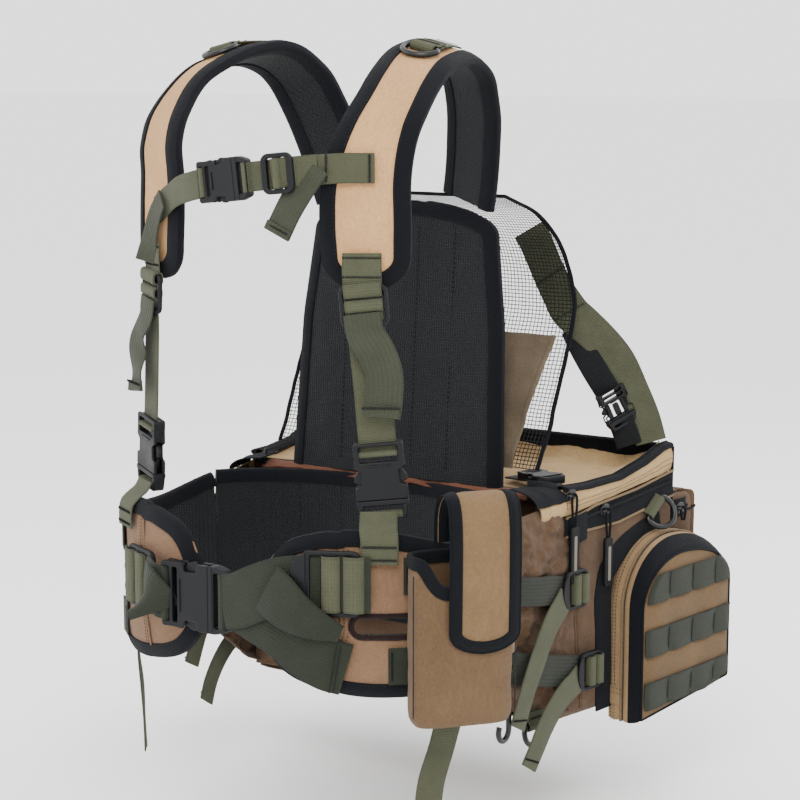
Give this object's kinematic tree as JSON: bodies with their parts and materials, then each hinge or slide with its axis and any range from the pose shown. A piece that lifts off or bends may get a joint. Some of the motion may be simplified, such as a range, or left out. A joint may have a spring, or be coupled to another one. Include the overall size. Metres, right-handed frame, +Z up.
{
  "type": "binocular harness pack",
  "caption": "Padded shoulder harness and hip belt carrying a lumbar pack with a hinged lid, zipped side pockets, a mesh sleeve and a radio pouch.",
  "frame": {"origin": "centre of the wearer's waist at belt height", "axes": "+Z up along the wearer, -Y to the wearer's front, +X to the wearer's left"},
  "size_m": [0.5122, 0.5261, 0.6695],
  "materials": {
    "pad_cloth": "tan coated nylon, plain weave",
    "spacer_cloth": "dark spacer mesh",
    "pack_cloth": "tan coated nylon, plain weave",
    "lid_cloth": "light tan nylon",
    "pouch_cloth": "brown tan nylon",
    "mesh": "open square net",
    "webbing": "ribbed olive nylon webbing",
    "buckle_plastic": "moulded acetal, fine grain",
    "zip_tape": "woven tape with coil",
    "zip_metal": "black painted die cast",
    "pull_cloth": "folded webbing tab",
    "ring_metal": "black painted wire"
  },
  "bodies": {
    "harness": {"left_shoulder_pad": "pad_cloth", "right_shoulder_pad": "pad_cloth", "front_straps": "webbing", "front_buckle_females": "buckle_plastic", "front_buckle_males": "buckle_plastic", "sternum_straps": "webbing", "sternum_adjuster": "buckle_plastic", "sternum_buckle_female": "buckle_plastic", "sternum_buckle_male": "buckle_plastic", "left_hip_wing": "pad_cloth", "right_hip_wing": "pad_cloth", "lumbar_pad": "spacer_cloth", "waist_straps": "webbing", "waist_buckle_female": "buckle_plastic", "waist_buckle_male": "buckle_plastic", "back_panel": "spacer_cloth", "back_flap": "pack_cloth", "mesh_sleeve": "mesh", "pack_side_panels": "pack_cloth", "pack_front_panel": "pack_cloth", "pack_rear_panel": "pack_cloth", "pack_base_panel": "pack_cloth", "main_zip_band": "zip_tape", "left_side_pocket": "pack_cloth", "right_side_pocket": "pack_cloth", "rear_pocket": "pack_cloth", "radio_pouch": "pouch_cloth", "compression_straps": "webbing", "ladder_locks": "buckle_plastic", "load_lifter_straps": "webbing", "hanging_straps": "webbing", "sewn_loops": "webbing"},
    "lid": {"pack_lid": "lid_cloth"},
    "main_slider": {"main_zip_slider": "zip_metal"},
    "main_pull": {"main_zip_pull": "pull_cloth"},
    "lid_slider": {"lid_zip_slider": "zip_metal"},
    "lid_pull": {"lid_zip_pull": "pull_cloth"},
    "left_pocket_slider": {"left_pocket_zip_slider": "zip_metal"},
    "left_pocket_pull": {"left_pocket_zip_pull": "pull_cloth"},
    "right_pocket_slider": {"right_pocket_zip_slider": "zip_metal"},
    "rear_slider": {"rear_zip_slider": "zip_metal"},
    "pouch_flap": {"radio_pouch_flap": "pouch_cloth"},
    "left_cover": {"left_pocket_cover": "pack_cloth", "left_molle_webbing": "webbing"},
    "right_cover": {"right_pocket_cover": "pack_cloth", "right_molle_webbing": "webbing"},
    "left_d_ring": {"left_d_ring": "ring_metal"},
    "right_d_ring": {"right_d_ring": "ring_metal"},
    "left_shoulder_ring": {"left_shoulder_ring": "ring_metal"},
    "right_shoulder_ring": {"right_shoulder_ring": "ring_metal"},
    "gear_ring": {"gear_ring": "ring_metal"},
    "gear_hook": {"gear_hook": "ring_metal"},
    "left_front_prong_inner": {"left_front_prong_inner": "buckle_plastic"},
    "left_front_prong_outer": {"left_front_prong_outer": "buckle_plastic"},
    "right_front_prong_inner": {"right_front_prong_inner": "buckle_plastic"},
    "right_front_prong_outer": {"right_front_prong_outer": "buckle_plastic"},
    "sternum_prong_lower": {"sternum_prong_lower": "buckle_plastic"},
    "sternum_prong_upper": {"sternum_prong_upper": "buckle_plastic"},
    "waist_prong_lower": {"waist_prong_lower": "buckle_plastic"},
    "waist_prong_upper": {"waist_prong_upper": "buckle_plastic"}
  },
  "joints": [
    {"name": "lid_hinge", "type": "hinge", "parent": "harness", "child": "lid", "pos_m": [0, 0.1345, 0.074], "axis": [1, 0, 0], "range_deg": [0, 50], "deforming": ["load_lifter_straps"]},
    {"name": "main_zip_slide", "type": "slide", "parent": "harness", "child": "main_slider", "axis": [0.1726, 0.9789, 0.1093], "range_m": [-0.012, 0.012]},
    {"name": "main_zip_pull_swing", "type": "hinge", "parent": "main_slider", "child": "main_pull", "pos_m": [0.19846, 0.18932, 0.0466], "axis": [-0.1736, -0.9848, 0], "range_deg": [0, 80]},
    {"name": "lid_zip_slide", "type": "slide", "parent": "harness", "child": "lid_slider", "axis": [0.1736, 0.9848, 0], "range_m": [0, 0.02]},
    {"name": "lid_zip_pull_swing", "type": "hinge", "parent": "lid_slider", "child": "lid_pull", "pos_m": [0.1883, 0.14034, 0.068], "axis": [-0.1736, -0.9848, 0], "range_deg": [0, 80]},
    {"name": "left_pocket_zip_slide", "type": "slide", "parent": "harness", "child": "left_pocket_slider", "axis": [0, 0, 1], "range_m": [-0.03, 0.04]},
    {"name": "left_pocket_pull_swing", "type": "hinge", "parent": "left_pocket_slider", "child": "left_pocket_pull", "pos_m": [0.23075, 0.36204, -0.098], "axis": [0.9848, -0.1736, 0], "range_deg": [0, 80]},
    {"name": "right_pocket_zip_slide", "type": "slide", "parent": "harness", "child": "right_pocket_slider", "axis": [0, 0, 1], "range_m": [-0.03, 0.04]},
    {"name": "rear_zip_slide", "type": "slide", "parent": "harness", "child": "rear_slider", "axis": [0.1736, 0.9848, 0], "range_m": [0, 0.022]},
    {"name": "pouch_flap_hinge", "type": "hinge", "parent": "harness", "child": "pouch_flap", "pos_m": [0.19038, -0.05162, 0.061], "axis": [-0.6428, -0.766, 0], "range_deg": [0, 90]},
    {"name": "left_pocket_cover_hinge", "type": "hinge", "parent": "harness", "child": "left_cover", "pos_m": [0.20939, 0.20465, -0.161], "axis": [0.1728, 0.9799, 0.0995], "range_deg": [0, 65]},
    {"name": "right_pocket_cover_hinge", "type": "hinge", "parent": "harness", "child": "right_cover", "pos_m": [-0.20939, 0.20465, -0.161], "axis": [0.1728, -0.9799, -0.0995], "range_deg": [0, 65]},
    {"name": "left_d_ring_swing", "type": "hinge", "parent": "harness", "child": "left_d_ring", "pos_m": [0.20886, 0.26669, 0.037], "axis": [-0.1352, -0.7666, -0.6277], "range_deg": [0, 75]},
    {"name": "right_d_ring_swing", "type": "hinge", "parent": "harness", "child": "right_d_ring", "pos_m": [-0.20886, 0.26669, 0.037], "axis": [-0.1352, 0.7666, 0.6277], "range_deg": [0, 75]},
    {"name": "left_shoulder_ring_swing", "type": "hinge", "parent": "harness", "child": "left_shoulder_ring", "pos_m": [0.109, 0.004, 0.4754], "axis": [-0.9725, 0.062, 0.2247], "range_deg": [0, 150]},
    {"name": "right_shoulder_ring_swing", "type": "hinge", "parent": "harness", "child": "right_shoulder_ring", "pos_m": [-0.109, 0.004, 0.4754], "axis": [-0.9725, -0.062, -0.2247], "range_deg": [0, 150]},
    {"name": "gear_ring_swing", "type": "hinge", "parent": "harness", "child": "gear_ring", "pos_m": [0.172, 0.1, -0.143], "axis": [-0.174, -0.9848, 0], "range_deg": [-35, 30]},
    {"name": "gear_hook_swing", "type": "hinge", "parent": "harness", "child": "gear_hook", "pos_m": [0.18, 0.02, -0.104], "axis": [0, -1, 0], "range_deg": [-30, 5]},
    {"name": "left_front_prong_inner_flex", "type": "hinge", "parent": "harness", "child": "left_front_prong_inner", "pos_m": [0.11427, -0.0947, 0.10086], "axis": [-0.4915, 0.8709, 0.0089], "range_deg": [0, 8], "stiffness_Nm_per_rad": 0.05},
    {"name": "left_front_prong_outer_flex", "type": "hinge", "parent": "harness", "child": "left_front_prong_outer", "pos_m": [0.13856, -0.08102, 0.10349], "axis": [0.4915, -0.8709, -0.0089], "range_deg": [0, 8], "stiffness_Nm_per_rad": 0.05},
    {"name": "right_front_prong_inner_flex", "type": "hinge", "parent": "harness", "child": "right_front_prong_inner", "pos_m": [-0.11427, -0.0947, 0.10086], "axis": [-0.4915, -0.8709, -0.0089], "range_deg": [0, 8], "stiffness_Nm_per_rad": 0.05},
    {"name": "right_front_prong_outer_flex", "type": "hinge", "parent": "harness", "child": "right_front_prong_outer", "pos_m": [-0.13856, -0.08102, 0.10349], "axis": [0.4915, 0.8709, 0.0089], "range_deg": [0, 8], "stiffness_Nm_per_rad": 0.05},
    {"name": "sternum_prong_lower_flex", "type": "hinge", "parent": "harness", "child": "sternum_prong_lower", "pos_m": [0.00554, -0.129, 0.35519], "axis": [0, 1, 0], "range_deg": [0, 8], "stiffness_Nm_per_rad": 0.05},
    {"name": "sternum_prong_upper_flex", "type": "hinge", "parent": "harness", "child": "sternum_prong_upper", "pos_m": [0.00304, -0.129, 0.37604], "axis": [0, -1, 0], "range_deg": [0, 8], "stiffness_Nm_per_rad": 0.05},
    {"name": "waist_prong_lower_flex", "type": "hinge", "parent": "harness", "child": "waist_prong_lower", "pos_m": [-0.0164, -0.146, -0.018], "axis": [0, 1, 0], "range_deg": [0, 8], "stiffness_Nm_per_rad": 0.05},
    {"name": "waist_prong_upper_flex", "type": "hinge", "parent": "harness", "child": "waist_prong_upper", "pos_m": [-0.0164, -0.146, 0.026], "axis": [0, -1, 0], "range_deg": [0, 8], "stiffness_Nm_per_rad": 0.05}
  ],
  "couplings": [
    {"joint": "left_front_prong_outer_flex", "follows": "left_front_prong_inner_flex", "ratio": 1},
    {"joint": "right_front_prong_outer_flex", "follows": "right_front_prong_inner_flex", "ratio": 1},
    {"joint": "sternum_prong_upper_flex", "follows": "sternum_prong_lower_flex", "ratio": 1},
    {"joint": "waist_prong_upper_flex", "follows": "waist_prong_lower_flex", "ratio": 1}
  ]
}
